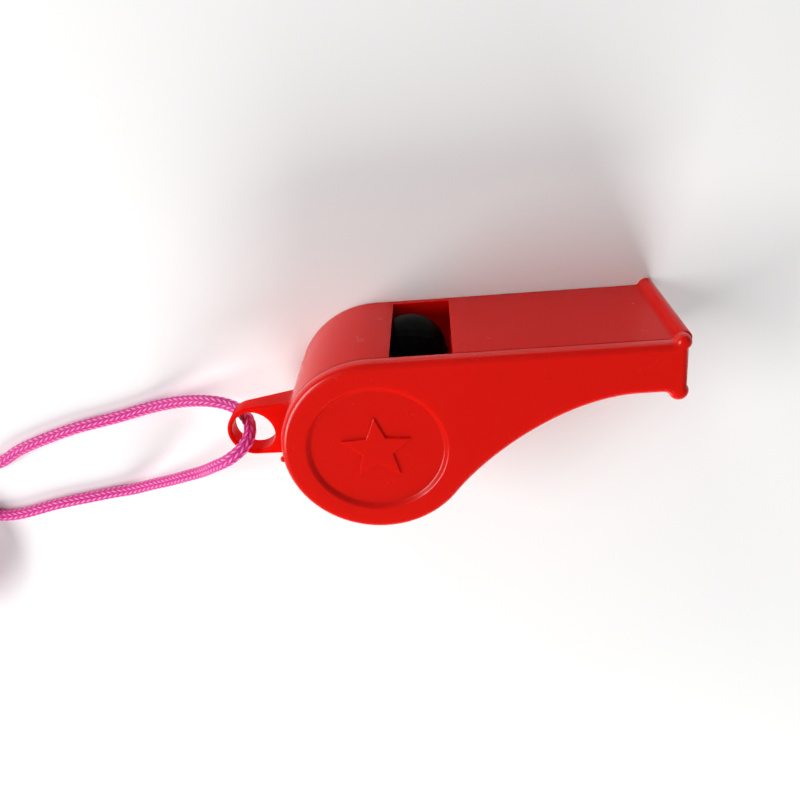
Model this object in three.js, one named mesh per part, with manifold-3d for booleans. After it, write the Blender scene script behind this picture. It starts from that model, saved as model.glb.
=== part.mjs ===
// A moulded plastic pea whistle lying on its flat cheek, with its neck cord.
// Millimetres. +X runs to the mouth end, +Y to the window side, +Z out of the cover.
// The origin is on the axis of the round chamber, in the face that the whistle lies on.

import * as THREE from 'three';
import { mergeVertices } from 'three/addons/utils/BufferGeometryUtils.js';
import Module from 'manifold-3d';

// Driving sizes of the moulded body
const barrelRadius = 10.2;
const overallWidth = 16.5;
const cheekThickness = 1.0;
const coverThickness = 1.4;
const seamGap = 0.05;
const mouthReach = 31.3;
const mouthHeight = 5.45;
const bodyEdgeRadius = 0.3;
const coverEdgeRadius = 0.8;

// The underside sweeps from the barrel to the flat of the mouthpiece
const sweepLeavesBarrelDeg = -36.9;
const sweepBarrelPull = 5.4;
const sweepMouthPull = 7.7;
const mouthFlatLength = 4.35;

// Lip beads at the mouth end, with a fillet behind the lower one
const topBeadRadius = 0.6;
const topBeadRise = 0.15;
const lowBeadRadius = 0.66;
const lowBeadSetback = 0.4;
const lowBeadDrop = 0.38;
const lowBeadFillet = 0.5;
const beadEndRadius = 0.52;

// Sound chamber, window and air duct
const barrelWall = 1.2;
const windowSetback = 2.1;
const lipThickness = 0.2;
const lipTaperStartDeg = 110;
const ductHeight = 3.2;
const ductFloorWall = 1.2;
const throatInset = 0.6;
const throatLedge = 0.1;

// Hollow under the duct floor, closed by the cover
const pocketWall = 0.9;
const pocketReach = 21.5;

// Lanyard eye, centred in the depth of the body moulding
const eyeReach = 14.98;
const eyeDroopDeg = 5.0;
const eyeHoleRadius = 2.55;
const eyeOuterRadius = 3.1;
const eyeThickness = 2.5;
const eyeEdgeRadius = 0.2;
const eyeRootFillet = 0.6;
const eyeRootRise = 0.45;

// Round recess in the cover, with a raised star on its floor
const roundelRadius = 7.5;
const roundelDepth = 0.45;
const roundelSlope = 0.5;
const starPoints = 5;
const starTipRadius = 3.9;
const starNotchRadius = 1.75;
const starRise = 0.25;
const starEdgeRadius = 0.12;

// Rim inside the cover that locates it in the chamber, and the mark of the gate
const registerHeight = 0.8;
const registerWidth = 0.8;
const registerClearance = 0.12;
const registerStartDeg = 128;
const registerEndDeg = 335;
const gateRadius = 0.35;
const gateDeg = 184;

// Pea, drawn where it lies against the window lip
const peaRadius = 4.05;
const peaClearance = 0.15;
const peaThroatClearance = 0.45;

// Neck cord
const cordDiameter = 1.5;
const cordGap = 0.3;
const tableClearance = 0.02;

// Knot that joins the ends of the cord
const knotPlace = new THREE.Vector3(-61.4, -6.4, 2.55);
const knotCore = 1.75;
const knotWrapRadius = 1.72;
const knotWrapThickness = 1.4;
const knotWrapTurns = [[90, 0, 30], [60, 55, 0], [60, -55, 0]];
const knotTailLength = 5.35;
const knotTailDroopDeg = 17;
const knotTailDegs = [35, 85];
const knotFootDeg = -80;

// Coil of the spare cord
const coilCentre = new THREE.Vector2(-72, -21.4);
const coilStartDeg = 64;
const coilMeanRadius = 8.4;
const coilTurns = 12 + 5 / 6;
const coilLayers = 4;
const coilPitch = 1.95;
const climbTurns = 0.5;
const coilLeavePull = 5.5;
const knotMeetPull = 5.5;
const knotMeetLift = 2.0;

// Facets
const arcStepDeg = 5;
const smallArcStepDeg = 15;
const eyeStepDeg = 10;
const sweepSteps = 20;
const edgeSteps = 3;
const peaSides = 32;
const peaRings = 18;
const gateSides = 10;
const gateRings = 6;
const cordSteps = 80;
const cordSides = 8;
const stepsPerLoop = 24;
const coilSides = 6;
const leadOutSteps = 8;
const knotSides = 18;
const knotRings = 12;
const gapSamples = 4;

const red = new THREE.MeshStandardMaterial({ color: 0xc81e14, roughness: 0.38, metalness: 0 });
const coverRed = new THREE.MeshStandardMaterial({ color: 0xd01c10, roughness: 0.34, metalness: 0 });
const black = new THREE.MeshStandardMaterial({ color: 0x14110f, roughness: 0.5, metalness: 0 });
const pink = new THREE.MeshStandardMaterial({ color: 0xe0459c, roughness: 0.85, metalness: 0 });

// Places worked out from the sizes above
const axis = new THREE.Vector2(0, 0);
const seamHeight = overallWidth - coverThickness;
const coverInside = seamHeight + seamGap;
const chamberRadius = barrelRadius - barrelWall;
const topHeight = barrelRadius;
const underHeight = topHeight - mouthHeight;
const roofHeight = topHeight - (mouthHeight - ductHeight - ductFloorWall);
const floorHeight = roofHeight - ductHeight;
const throatX = chamberRadius - throatInset;
const windowEnd = throatX + throatLedge;
const cordRadius = cordDiameter / 2;
const lowestCord = cordRadius + tableClearance;
const coilOuterRadius = coilMeanRadius + (coilPitch * coilTurns) / coilLayers / 2;

// How far a cut reaches past the face that it opens
const cutPast = 2;

const wasm = await Module();
wasm.setup();

function radians(degrees) {
  return THREE.MathUtils.degToRad(degrees);
}

function degrees(angle) {
  return THREE.MathUtils.radToDeg(angle);
}

function onCircle(radius, turnDeg, centre = axis) {
  return new THREE.Vector2(
    centre.x + radius * Math.cos(radians(turnDeg)),
    centre.y + radius * Math.sin(radians(turnDeg)),
  );
}

// A level direction
function flatWay(turnDeg) {
  return new THREE.Vector3(Math.cos(radians(turnDeg)), Math.sin(radians(turnDeg)), 0);
}

// Points along an arc, both ends included
function arc(radius, fromDeg, toDeg, centre = axis, stepDeg = arcStepDeg) {
  const count = Math.max(1, Math.round(Math.abs(toDeg - fromDeg) / stepDeg));
  const points = [];
  for (let i = 0; i <= count; i += 1) {
    points.push(onCircle(radius, fromDeg + ((toDeg - fromDeg) * i) / count, centre));
  }
  return points;
}

function circle(radius, centre = axis, stepDeg = arcStepDeg) {
  return arc(radius, 0, 360, centre, stepDeg).slice(0, -1);
}

// Hollow corner under a level line, to the left of a round form that it blends into
function cornerArc(radius, lineHeight, centre, roundRadius) {
  const y = lineHeight - radius;
  const x = centre.x - Math.sqrt((roundRadius + radius) ** 2 - (centre.y - y) ** 2);
  const meetDeg = degrees(Math.atan2(centre.y - y, centre.x - x));
  return arc(radius, 90, meetDeg, new THREE.Vector2(x, y), smallArcStepDeg);
}

function toSolid(geometry) {
  const bare = geometry.clone();
  bare.deleteAttribute('normal');
  bare.deleteAttribute('uv');
  const merged = mergeVertices(bare, 1e-4);
  const mesh = new wasm.Mesh({
    numProp: 3,
    vertProperties: new Float32Array(merged.attributes.position.array),
    triVerts: new Uint32Array(merged.index.array),
  });
  return new wasm.Manifold(mesh);
}

function toGeometry(solid) {
  const mesh = solid.getMesh();
  const geometry = new THREE.BufferGeometry();
  geometry.setAttribute('position', new THREE.BufferAttribute(mesh.vertProperties, 3));
  geometry.setIndex(new THREE.BufferAttribute(mesh.triVerts, 1));
  geometry.computeVertexNormals();
  return geometry;
}

// Each point of a closed loop moved sideways by the inset, towards the left of its way
function insetLoop(points, inset) {
  return points.map((point, i) => {
    const before = points[(i + points.length - 1) % points.length];
    const after = points[(i + 1) % points.length];
    const wayIn = point.clone().sub(before).normalize();
    const wayOut = after.clone().sub(point).normalize();
    const left = new THREE.Vector2(-wayIn.y - wayOut.y, wayIn.x + wayOut.x);
    return point.clone().addScaledVector(left, inset / (1 + wayIn.dot(wayOut)));
  });
}

// Inset and height of each level of a plate whose two rims are rounded
function rimLevels(low, high, lowRound, highRound) {
  const levels = [];
  for (let i = lowRound > 0 ? 0 : edgeSteps; i <= edgeSteps; i += 1) {
    const turn = (Math.PI / 2) * (i / edgeSteps);
    levels.push([lowRound * (1 - Math.sin(turn)), low + lowRound * (1 - Math.cos(turn))]);
  }
  for (let i = edgeSteps; i >= (highRound > 0 ? 0 : edgeSteps); i -= 1) {
    const turn = (Math.PI / 2) * (i / edgeSteps);
    levels.push([highRound * (1 - Math.sin(turn)), high - highRound * (1 - Math.cos(turn))]);
  }
  return levels;
}

// A plate between two heights, its outline running counterclockwise and its hole clockwise
function plate(outline, low, high, lowRound = 0, highRound = 0, hole = []) {
  const loops = [outline, hole];
  const levels = rimLevels(low, high, lowRound, highRound);
  const rings = levels.map(([inset]) => loops.map((loop) => insetLoop(loop, inset)));
  const positions = [];
  rings.forEach((ring, level) => {
    for (const point of ring.flat()) positions.push(point.x, point.y, levels[level][1]);
  });
  const perLevel = outline.length + hole.length;
  const last = levels.length - 1;
  const index = [];
  for (let level = 0; level < last; level += 1) {
    let start = level * perLevel;
    for (const loop of loops) {
      for (let i = 0; i < loop.length; i += 1) {
        const a = start + i;
        const b = start + ((i + 1) % loop.length);
        index.push(a, b, b + perLevel, a, b + perLevel, a + perLevel);
      }
      start += loop.length;
    }
  }
  const holes = (ring) => (hole.length > 0 ? [ring[1]] : []);
  for (const [a, b, c] of THREE.ShapeUtils.triangulateShape(rings[0][0], holes(rings[0]))) {
    index.push(a, c, b);
  }
  const top = last * perLevel;
  for (const [a, b, c] of THREE.ShapeUtils.triangulateShape(rings[last][0], holes(rings[last]))) {
    index.push(top + a, top + b, top + c);
  }
  const geometry = new THREE.BufferGeometry();
  geometry.setAttribute('position', new THREE.Float32BufferAttribute(positions, 3));
  geometry.setIndex(index);
  return toSolid(geometry);
}

// Side view of the whistle without its beads, which the body and the cover share
function whistleOutline() {
  const leave = onCircle(barrelRadius, sweepLeavesBarrelDeg);
  const leaveWay = onCircle(1, sweepLeavesBarrelDeg + 90);
  const flatStart = new THREE.Vector2(mouthReach - mouthFlatLength, underHeight);
  const sweep = new THREE.CubicBezierCurve(
    leave,
    leave.clone().addScaledVector(leaveWay, sweepBarrelPull),
    new THREE.Vector2(flatStart.x - sweepMouthPull, underHeight),
    flatStart,
  );
  return [
    ...arc(barrelRadius, 90, 360 + sweepLeavesBarrelDeg),
    ...sweep.getPoints(sweepSteps).slice(1),
    new THREE.Vector2(mouthReach, underHeight),
    new THREE.Vector2(mouthReach, topHeight),
  ];
}

// The two beads that the lips hold, with the fillet behind the lower one
function lipBeads(low, high, lowRound, highRound) {
  const topBead = new THREE.Vector2(mouthReach, topHeight + topBeadRise);
  const lowBead = new THREE.Vector2(mouthReach - lowBeadSetback, underHeight - lowBeadDrop);
  const corner = cornerArc(lowBeadFillet, underHeight, lowBead, lowBeadRadius);
  const fillet = [
    ...corner,
    lowBead,
    new THREE.Vector2(lowBead.x, underHeight + lowBeadDrop),
    new THREE.Vector2(corner[0].x, underHeight + lowBeadDrop),
  ];
  return plate(circle(topBeadRadius, topBead, smallArcStepDeg), low, high, lowRound, highRound)
    .add(plate(circle(lowBeadRadius, lowBead, smallArcStepDeg), low, high, lowRound, highRound))
    .add(plate(fillet, low + lowRound, high - highRound));
}

// Chamber, window and duct in one opening, seen from the side
function airSpace() {
  const throatTurnDeg = degrees(Math.acos(throatX / chamberRadius));
  const end = mouthReach + cutPast;
  const outline = [
    new THREE.Vector2(end, roofHeight),
    new THREE.Vector2(windowEnd, roofHeight),
    new THREE.Vector2(windowEnd, topHeight + cutPast),
    new THREE.Vector2(windowSetback, topHeight + cutPast),
    new THREE.Vector2(windowSetback, topHeight - lipThickness),
    ...arc(chamberRadius, lipTaperStartDeg, 360 + throatTurnDeg),
    new THREE.Vector2(throatX, floorHeight),
    new THREE.Vector2(end, floorHeight),
  ];
  return plate(outline, cheekThickness, seamHeight + cutPast);
}

// Hollow that keeps the wall even between the underside, the duct floor and the chamber wall
function pocketSpace() {
  const high = seamHeight + cutPast;
  const behindChamber = throatX + pocketWall;
  const ceiling = floorHeight - ductFloorWall;
  const reach = [
    new THREE.Vector2(behindChamber, -barrelRadius),
    new THREE.Vector2(pocketReach, -barrelRadius),
    new THREE.Vector2(pocketReach, ceiling),
    new THREE.Vector2(behindChamber, ceiling),
  ];
  return plate(insetLoop(whistleOutline(), pocketWall), cheekThickness, high)
    .intersect(plate(reach, cheekThickness, high))
    .subtract(plate(circle(chamberRadius + pocketWall), 0, high + cutPast));
}

function eyePlate() {
  const upperReach = eyeOuterRadius + eyeRootRise;
  const corner = cornerArc(eyeRootFillet, -eyeOuterRadius, axis, barrelRadius);
  const upperCorner = cornerArc(eyeRootFillet, -upperReach, axis, barrelRadius)
    .map((point) => new THREE.Vector2(point.x, -point.y))
    .reverse();
  const loop = new THREE.Vector2(-eyeReach, 0);
  const outline = [
    ...arc(eyeOuterRadius, 90, 270, loop, eyeStepDeg),
    ...corner,
    new THREE.Vector2(-chamberRadius, corner[corner.length - 1].y),
    new THREE.Vector2(-chamberRadius, upperCorner[0].y),
    ...upperCorner,
  ];
  const hole = circle(eyeHoleRadius, loop, eyeStepDeg).reverse();
  const low = (seamHeight - eyeThickness) / 2;
  const flat = plate(outline, low, low + eyeThickness, eyeEdgeRadius, eyeEdgeRadius, hole);
  return flat.rotate([0, 0, eyeDroopDeg]);
}

function bodyShell() {
  return plate(whistleOutline(), 0, seamHeight, bodyEdgeRadius)
    .add(eyePlate())
    .add(lipBeads(0, seamHeight, bodyEdgeRadius, 0))
    .subtract(airSpace())
    .subtract(pocketSpace());
}

// The cut that leaves a round recess with a sloping wall
function roundelCut() {
  const floor = overallWidth - roundelDepth;
  const profile = [
    new THREE.Vector2(0, floor),
    new THREE.Vector2(roundelRadius - roundelSlope, floor),
    new THREE.Vector2(roundelRadius, overallWidth),
    new THREE.Vector2(roundelRadius, overallWidth + cutPast),
    new THREE.Vector2(0, overallWidth + cutPast),
  ];
  const cut = new THREE.LatheGeometry(profile, 360 / arcStepDeg);
  cut.rotateX(Math.PI / 2);
  return toSolid(cut);
}

function raisedStar() {
  const outline = [];
  for (let i = 0; i < starPoints; i += 1) {
    const tipDeg = 90 + (360 * i) / starPoints;
    outline.push(onCircle(starTipRadius, tipDeg));
    outline.push(onCircle(starNotchRadius, tipDeg + 180 / starPoints));
  }
  const floor = overallWidth - roundelDepth;
  const root = floor - (coverThickness - roundelDepth) / 2;
  return plate(outline, root, floor + starRise, 0, starEdgeRadius);
}

function register() {
  const outer = chamberRadius - registerClearance;
  const outline = [
    ...arc(outer - registerWidth, registerEndDeg, registerStartDeg),
    ...arc(outer, registerStartDeg, registerEndDeg),
  ];
  return plate(outline, coverInside - registerHeight, coverInside + coverThickness / 2);
}

function gateMark() {
  const place = onCircle(barrelRadius, gateDeg);
  const mark = new THREE.SphereGeometry(gateRadius, gateSides, gateRings);
  mark.translate(place.x, place.y, coverInside + coverThickness / 2);
  return toSolid(mark);
}

function sideCover() {
  return plate(whistleOutline(), coverInside, overallWidth, 0, coverEdgeRadius)
    .add(lipBeads(coverInside, overallWidth, 0, beadEndRadius))
    .subtract(roundelCut())
    .add(raisedStar())
    .add(register())
    .add(gateMark());
}

// Where the pea lies: against the lip's edge and on the inside of the cheek
function peaPlace() {
  const fromLip = peaRadius + peaClearance;
  const x = throatX - peaThroatClearance - peaRadius;
  const drop = Math.sqrt(fromLip ** 2 - (x - windowSetback) ** 2);
  return new THREE.Vector3(x, topHeight - lipThickness - drop, cheekThickness + fromLip);
}

// The free cord from the knot, through the eye and on to the coil
function stretchRoute() {
  const coilStart = onCircle(coilOuterRadius, coilStartDeg, coilCentre);
  const meet = coilStart.addScaledVector(onCircle(1, coilStartDeg - 90), cordDiameter + cordGap);
  return [
    [knotPlace.x + knotCore + cordRadius + cordGap, knotPlace.y - 1.2, 2.0],
    [-56.4, -8.9, 1.15],
    [-52.2, -8.5, lowestCord],
    [-49.0, -6.8, lowestCord],
    [-45.3, -5.4, lowestCord],
    [-40.3, -3.9, lowestCord],
    [-34.8, -2.75, lowestCord],
    [-29.4, -1.4, 0.95],
    [-25.2, -0.4, 1.9],
    [-21.1, 0.2, 3.4],
    [-18.66, -0.04, 4.19],
    [-17.03, -0.41, 5.3],
    [-15.79, -1.04, 6.97],
    [-15.64, -1.95, 8.38],
    [-16.36, -2.91, 9.47],
    [-17.98, -4.08, 9.88],
    [-20.61, -6.02, 8.34],
    [-23.54, -8.52, 5.59],
    [-26.2, -9.9, 4.3],
    [-28.7, -11.25, 3.0],
    [-32.0, -12.6, 1.8],
    [-35.1, -13.7, 1.05],
    [-38.0, -14.25, lowestCord],
    [-40.8, -14.7, lowestCord],
    [-46.6, -15.7, lowestCord],
    [-50.9, -16.75, lowestCord],
    [-53.0, -17.1, lowestCord],
    [-55.1, -17.05, lowestCord],
    [-58.5, -16.05, lowestCord],
    [-62.0, -13.7, lowestCord],
    [meet.x, meet.y, lowestCord],
  ].map(([x, y, z]) => new THREE.Vector3(x, y, z));
}

function lanyardStretch() {
  return new THREE.ExtrudeGeometry(new THREE.Shape(circle(cordRadius, axis, 360 / cordSides)), {
    steps: cordSteps,
    bevelEnabled: false,
    extrudePath: new THREE.CatmullRomCurve3(stretchRoute(), false, 'centripetal'),
  });
}

// Layers that spiral in and out, each climb being in the half turn where the spiral reverses
function coilTurnPoints() {
  const layerTurns = coilTurns / coilLayers;
  const points = [];
  for (let i = 0; i <= Math.round(coilTurns * stepsPerLoop); i += 1) {
    const turns = i / stepsPerLoop;
    const layer = Math.min(coilLayers - 1, Math.floor(turns / layerTurns));
    const inLayer = turns / layerTurns - layer;
    const inward = layer % 2 === 0 ? inLayer : 1 - inLayer;
    const radius = coilOuterRadius - inward * coilPitch * layerTurns;
    let height = lowestCord;
    for (let climb = 1; climb < coilLayers; climb += 1) {
      const share = (turns - climb * layerTurns) / climbTurns + 1 / 2;
      height += coilPitch * THREE.MathUtils.clamp(share, 0, 1);
    }
    const place = onCircle(radius, coilStartDeg + 360 * turns, coilCentre);
    points.push(new THREE.Vector3(place.x, place.y, height));
  }
  return points;
}

// The whole coil: a straight lead-in, the turns, and the lead-out down to the knot
function coilRoute() {
  const turns = coilTurnPoints();
  const first = turns[0];
  const last = turns[turns.length - 1];
  const leadIn = first.clone().addScaledVector(flatWay(coilStartDeg - 90), cordDiameter);
  const leave = last.clone().addScaledVector(flatWay(coilStartDeg + 360 * coilTurns + 90), coilLeavePull);
  const foot = knotPlace.clone().addScaledVector(flatWay(knotFootDeg), knotCore + cordRadius + cordGap);
  const meet = foot.clone().addScaledVector(flatWay(knotFootDeg), knotMeetPull);
  meet.z += knotMeetLift;
  const end = foot.clone().lerp(meet, cordDiameter / knotMeetPull);
  const leadOut = new THREE.CubicBezierCurve3(last, leave, meet, end);
  return [leadIn, ...turns, ...leadOut.getPoints(leadOutSteps).slice(1), foot];
}

// One unbroken tube through every point of a route, closed at both ends
function woundTube(route, radius, sides) {
  const positions = [];
  const index = [];
  const vertical = new THREE.Vector3(0, 0, 1);
  route.forEach((point, i) => {
    const before = route[Math.max(0, i - 1)];
    const after = route[Math.min(route.length - 1, i + 1)];
    const way = after.clone().sub(before).normalize();
    const side = new THREE.Vector3().crossVectors(vertical, way).normalize();
    const up = new THREE.Vector3().crossVectors(way, side);
    for (let k = 0; k < sides; k += 1) {
      const turn = (2 * Math.PI * (k + 1 / 2)) / sides;
      const corner = point.clone()
        .addScaledVector(side, radius * Math.cos(turn))
        .addScaledVector(up, radius * Math.sin(turn));
      positions.push(corner.x, corner.y, corner.z);
    }
  });
  for (let i = 0; i < route.length - 1; i += 1) {
    for (let k = 0; k < sides; k += 1) {
      const a = i * sides + k;
      const b = i * sides + ((k + 1) % sides);
      index.push(a, b, b + sides, a, b + sides, a + sides);
    }
  }
  const last = (route.length - 1) * sides;
  for (let k = 1; k < sides - 1; k += 1) {
    index.push(0, k + 1, k);
    index.push(last, last + k, last + k + 1);
  }
  const geometry = new THREE.BufferGeometry();
  geometry.setAttribute('position', new THREE.Float32BufferAttribute(positions, 3));
  geometry.setIndex(index);
  geometry.computeVertexNormals();
  return geometry;
}

// Least gap between stretches of the coil that are more than a third of a loop apart
function leastGap(route) {
  const fine = [];
  for (let i = 0; i < route.length - 1; i += 1) {
    for (let k = 0; k < gapSamples; k += 1) {
      fine.push(route[i].clone().lerp(route[i + 1], k / gapSamples));
    }
  }
  const apart = Math.round((gapSamples * stepsPerLoop) / 3);
  let least = Infinity;
  for (let i = 0; i < fine.length; i += 1) {
    for (let k = i + apart; k < fine.length; k += 1) {
      least = Math.min(least, fine[i].distanceTo(fine[k]));
    }
  }
  return least - cordDiameter;
}

function lanyardCoil() {
  const route = coilRoute();
  console.log(`coil: least gap to itself ${leastGap(route).toFixed(3)} mm`);
  return woundTube(route, cordRadius, coilSides);
}

// A tight core with three wraps over it and two short cut tails that droop to the table
function lanyardKnot() {
  let knot = toSolid(new THREE.SphereGeometry(knotCore, knotSides, knotRings));
  for (const turns of knotWrapTurns) {
    const wrap = new THREE.TorusGeometry(knotWrapRadius, knotWrapThickness / 2, cordSides, knotSides);
    knot = knot.add(toSolid(wrap).rotate(turns));
  }
  for (const turnDeg of knotTailDegs) {
    const tail = new THREE.CylinderGeometry(cordRadius, cordRadius, knotTailLength, cordSides);
    tail.translate(0, knotTailLength / 2, 0);
    knot = knot.add(toSolid(tail).rotate([-knotTailDroopDeg, 0, turnDeg]));
  }
  return toGeometry(knot);
}

function named(name, geometry, material, place = new THREE.Vector3()) {
  const mesh = new THREE.Mesh(geometry, material);
  mesh.name = name;
  mesh.position.copy(place);
  return mesh;
}

const peaBall = new THREE.SphereGeometry(peaRadius, peaSides, peaRings);

const whistle = new THREE.Group();
whistle.add(named('body_shell', toGeometry(bodyShell()), red));
whistle.add(named('side_cover', toGeometry(sideCover()), coverRed));
whistle.add(named('pea', peaBall, black, peaPlace()));
whistle.add(named('lanyard_stretch', lanyardStretch(), pink));
whistle.add(named('lanyard_coil', lanyardCoil(), pink));
whistle.add(named('lanyard_knot', lanyardKnot(), pink, knotPlace));

export default whistle;
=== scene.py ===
"""A moulded plastic pea whistle and its braided neck cord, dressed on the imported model.

The moulded pieces are drawn in millimetres and scaled to metres when they are placed. The cord
and its knot are drawn in metres, on the route that their solids follow.
"""

from __future__ import annotations

import logging
import math
from collections.abc import Callable, Mapping, Sequence
from dataclasses import dataclass, field
from enum import Enum

import bmesh
import bpy
from mathutils import Matrix, Vector


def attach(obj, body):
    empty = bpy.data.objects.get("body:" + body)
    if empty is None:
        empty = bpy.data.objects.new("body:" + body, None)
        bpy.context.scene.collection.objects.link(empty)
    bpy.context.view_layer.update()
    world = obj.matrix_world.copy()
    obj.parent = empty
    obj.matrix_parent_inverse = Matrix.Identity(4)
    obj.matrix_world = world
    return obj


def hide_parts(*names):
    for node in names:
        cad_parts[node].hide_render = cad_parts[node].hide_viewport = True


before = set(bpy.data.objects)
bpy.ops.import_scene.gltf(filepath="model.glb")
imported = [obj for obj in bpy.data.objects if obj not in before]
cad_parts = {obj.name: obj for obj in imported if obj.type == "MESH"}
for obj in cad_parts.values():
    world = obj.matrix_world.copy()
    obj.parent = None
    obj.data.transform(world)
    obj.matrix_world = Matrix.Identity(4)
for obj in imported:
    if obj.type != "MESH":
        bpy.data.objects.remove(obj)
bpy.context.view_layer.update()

MM = 0.001
CORD_RUN = "cord_run"
KNOT_PLACE = (-61.4, -6.4, 2.55)

# In millimetres: a point this near to a height is on it, ends this near meet, and points this
# near are one
NEAR = 1e-3
TOUCH = 1e-4
WELD = 1e-5

# In degrees: edges past the first are rounded, and creases past the second stay sharp
ROUNDED_PAST = 30.0
SHARP_PAST = 32.0

log = logging.getLogger("whistle")

Form = bmesh.types.BMesh
Point = tuple[float, float, float]
Socket = bpy.types.NodeSocket


class Body(Enum):
    """The bodies that a piece can ride on."""

    WHISTLE = "whistle"
    PEA = "pea"


class Slot(Enum):
    """The material slots of the record."""

    RED = "red_plastic"
    BLACK = "black_plastic"
    PINK = "pink_cord"


class Combine(Enum):
    """How two closed forms are put together."""

    JOIN = "UNION"
    CUT = "DIFFERENCE"
    SHARE = "INTERSECT"


@dataclass(frozen=True)
class Noise:
    """A noise pattern on an object's own coordinates.

    Attributes:
        scale: How many grains there are in a metre.
        detail: How many finer layers it has.
        low: The value up to which there is none of it.
        high: The value from which there is all of it.
        stretch: How much finer the grains are along each axis.
        height: How high it stands where it is a bump, in metres.
    """

    scale: float
    detail: float
    low: float = 0.0
    high: float = 1.0
    stretch: Point = (1.0, 1.0, 1.0)
    height: float = 0.0


class Nodes:
    """A short hand for writing a node material.

    Attributes:
        material: The material that is being written.
        tree: Its node tree.
        shader: Its main shader node.
        object_place: The object's own coordinates.
    """

    def __init__(self, name: str) -> None:
        """Starts a material with one main shader.

        Args:
            name: The material's name.
        """
        self.material = bpy.data.materials.new(name)
        self.material.use_nodes = True
        self.tree = self.material.node_tree
        self.shader = self.tree.nodes["Principled BSDF"]
        self.object_place = self.add("ShaderNodeTexCoord").outputs["Object"]

    def feed(self, socket: Socket, value: object) -> None:
        """Links an input to an output, or sets it.

        Args:
            socket: The input.
            value: The output, or a constant, which has three parts where it is a colour.
        """
        if isinstance(value, Socket):
            self.tree.links.new(value, socket)
        else:
            socket.default_value = (*value, 1.0) if socket.type == "RGBA" else value

    def add(
        self, kind: str, inputs: Mapping[str | int, object] | None = None, **settings: object
    ) -> bpy.types.Node:
        """Adds a node.

        Args:
            kind: The node's type name.
            inputs: What goes into its inputs.
            **settings: Values for the node's own properties.

        Returns:
            The new node.
        """
        node = self.tree.nodes.new(kind)
        for key, value in settings.items():
            setattr(node, key, value)
        for key, value in (inputs or {}).items():
            self.feed(node.inputs[key], value)
        return node

    def finish(self, inputs: Mapping[str, object]) -> bpy.types.Material:
        """Writes the main shader's inputs.

        Args:
            inputs: What goes into them.

        Returns:
            The finished material.
        """
        for key, value in inputs.items():
            self.feed(self.shader.inputs[key], value)
        return self.material

    def math(self, operation: str, *values: object) -> Socket:
        """Works out a number from numbers, or from sockets with them."""
        node = self.add("ShaderNodeMath", dict(enumerate(values)), operation=operation)
        return node.outputs["Value"]

    def noise(self, noise: Noise) -> Socket:
        """Makes a noise pattern.

        Args:
            noise: What it is like.

        Returns:
            The pattern's value.
        """
        mapping = {"Scale": noise.stretch, "Vector": self.object_place}
        place = self.add("ShaderNodeMapping", mapping).outputs["Vector"]
        texture = {"Scale": noise.scale, "Detail": noise.detail, "Vector": place}
        return self.add("ShaderNodeTexNoise", texture).outputs["Fac"]

    def ramp(
        self, value: Socket, low: float, high: float, start: float = 0.0, end: float = 1.0
    ) -> Socket:
        """Maps a stretch of a value to another stretch, held at its ends.

        Args:
            value: The value to map.
            low: Where the stretch starts.
            high: Where it ends.
            start: What it becomes at its start.
            end: What it becomes at its end.

        Returns:
            The mapped value.
        """
        inputs = {"Value": value, "From Min": low, "From Max": high, "To Min": start, "To Max": end}
        return self.add("ShaderNodeMapRange", inputs).outputs["Result"]

    def patches(self, noise: Noise, start: float = 0.0, end: float = 1.0) -> Socket:
        """Makes a noise pattern and maps what is between its low and high value."""
        return self.ramp(self.noise(noise), noise.low, noise.high, start, end)

    def blend(self, share: Socket, first: object, second: object) -> Socket:
        """Blends two colours.

        Args:
            share: How much of the second colour shows, from 0 to 1.
            first: The first colour, or a socket with it.
            second: The second colour, or a socket with it.

        Returns:
            The blended colour.
        """
        node = self.add("ShaderNodeMix", {"Factor": share}, data_type="RGBA")
        sockets = [s for s in node.inputs if s.type == "RGBA"]
        for socket, colour in zip(sockets, (first, second)):
            self.feed(socket, colour)
        return next(s for s in node.outputs if s.type == "RGBA")

    def bump(self, pattern: Socket, height: float, under: Socket | None = None) -> Socket:
        """Raises a pattern as a bump.

        Args:
            pattern: The pattern.
            height: The bump's height in metres.
            under: Another bump below it.

        Returns:
            The bumped normal.
        """
        inputs = {"Height": pattern, "Distance": height}
        if under is not None:
            inputs["Normal"] = under
        return self.add("ShaderNodeBump", inputs).outputs["Normal"]


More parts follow.
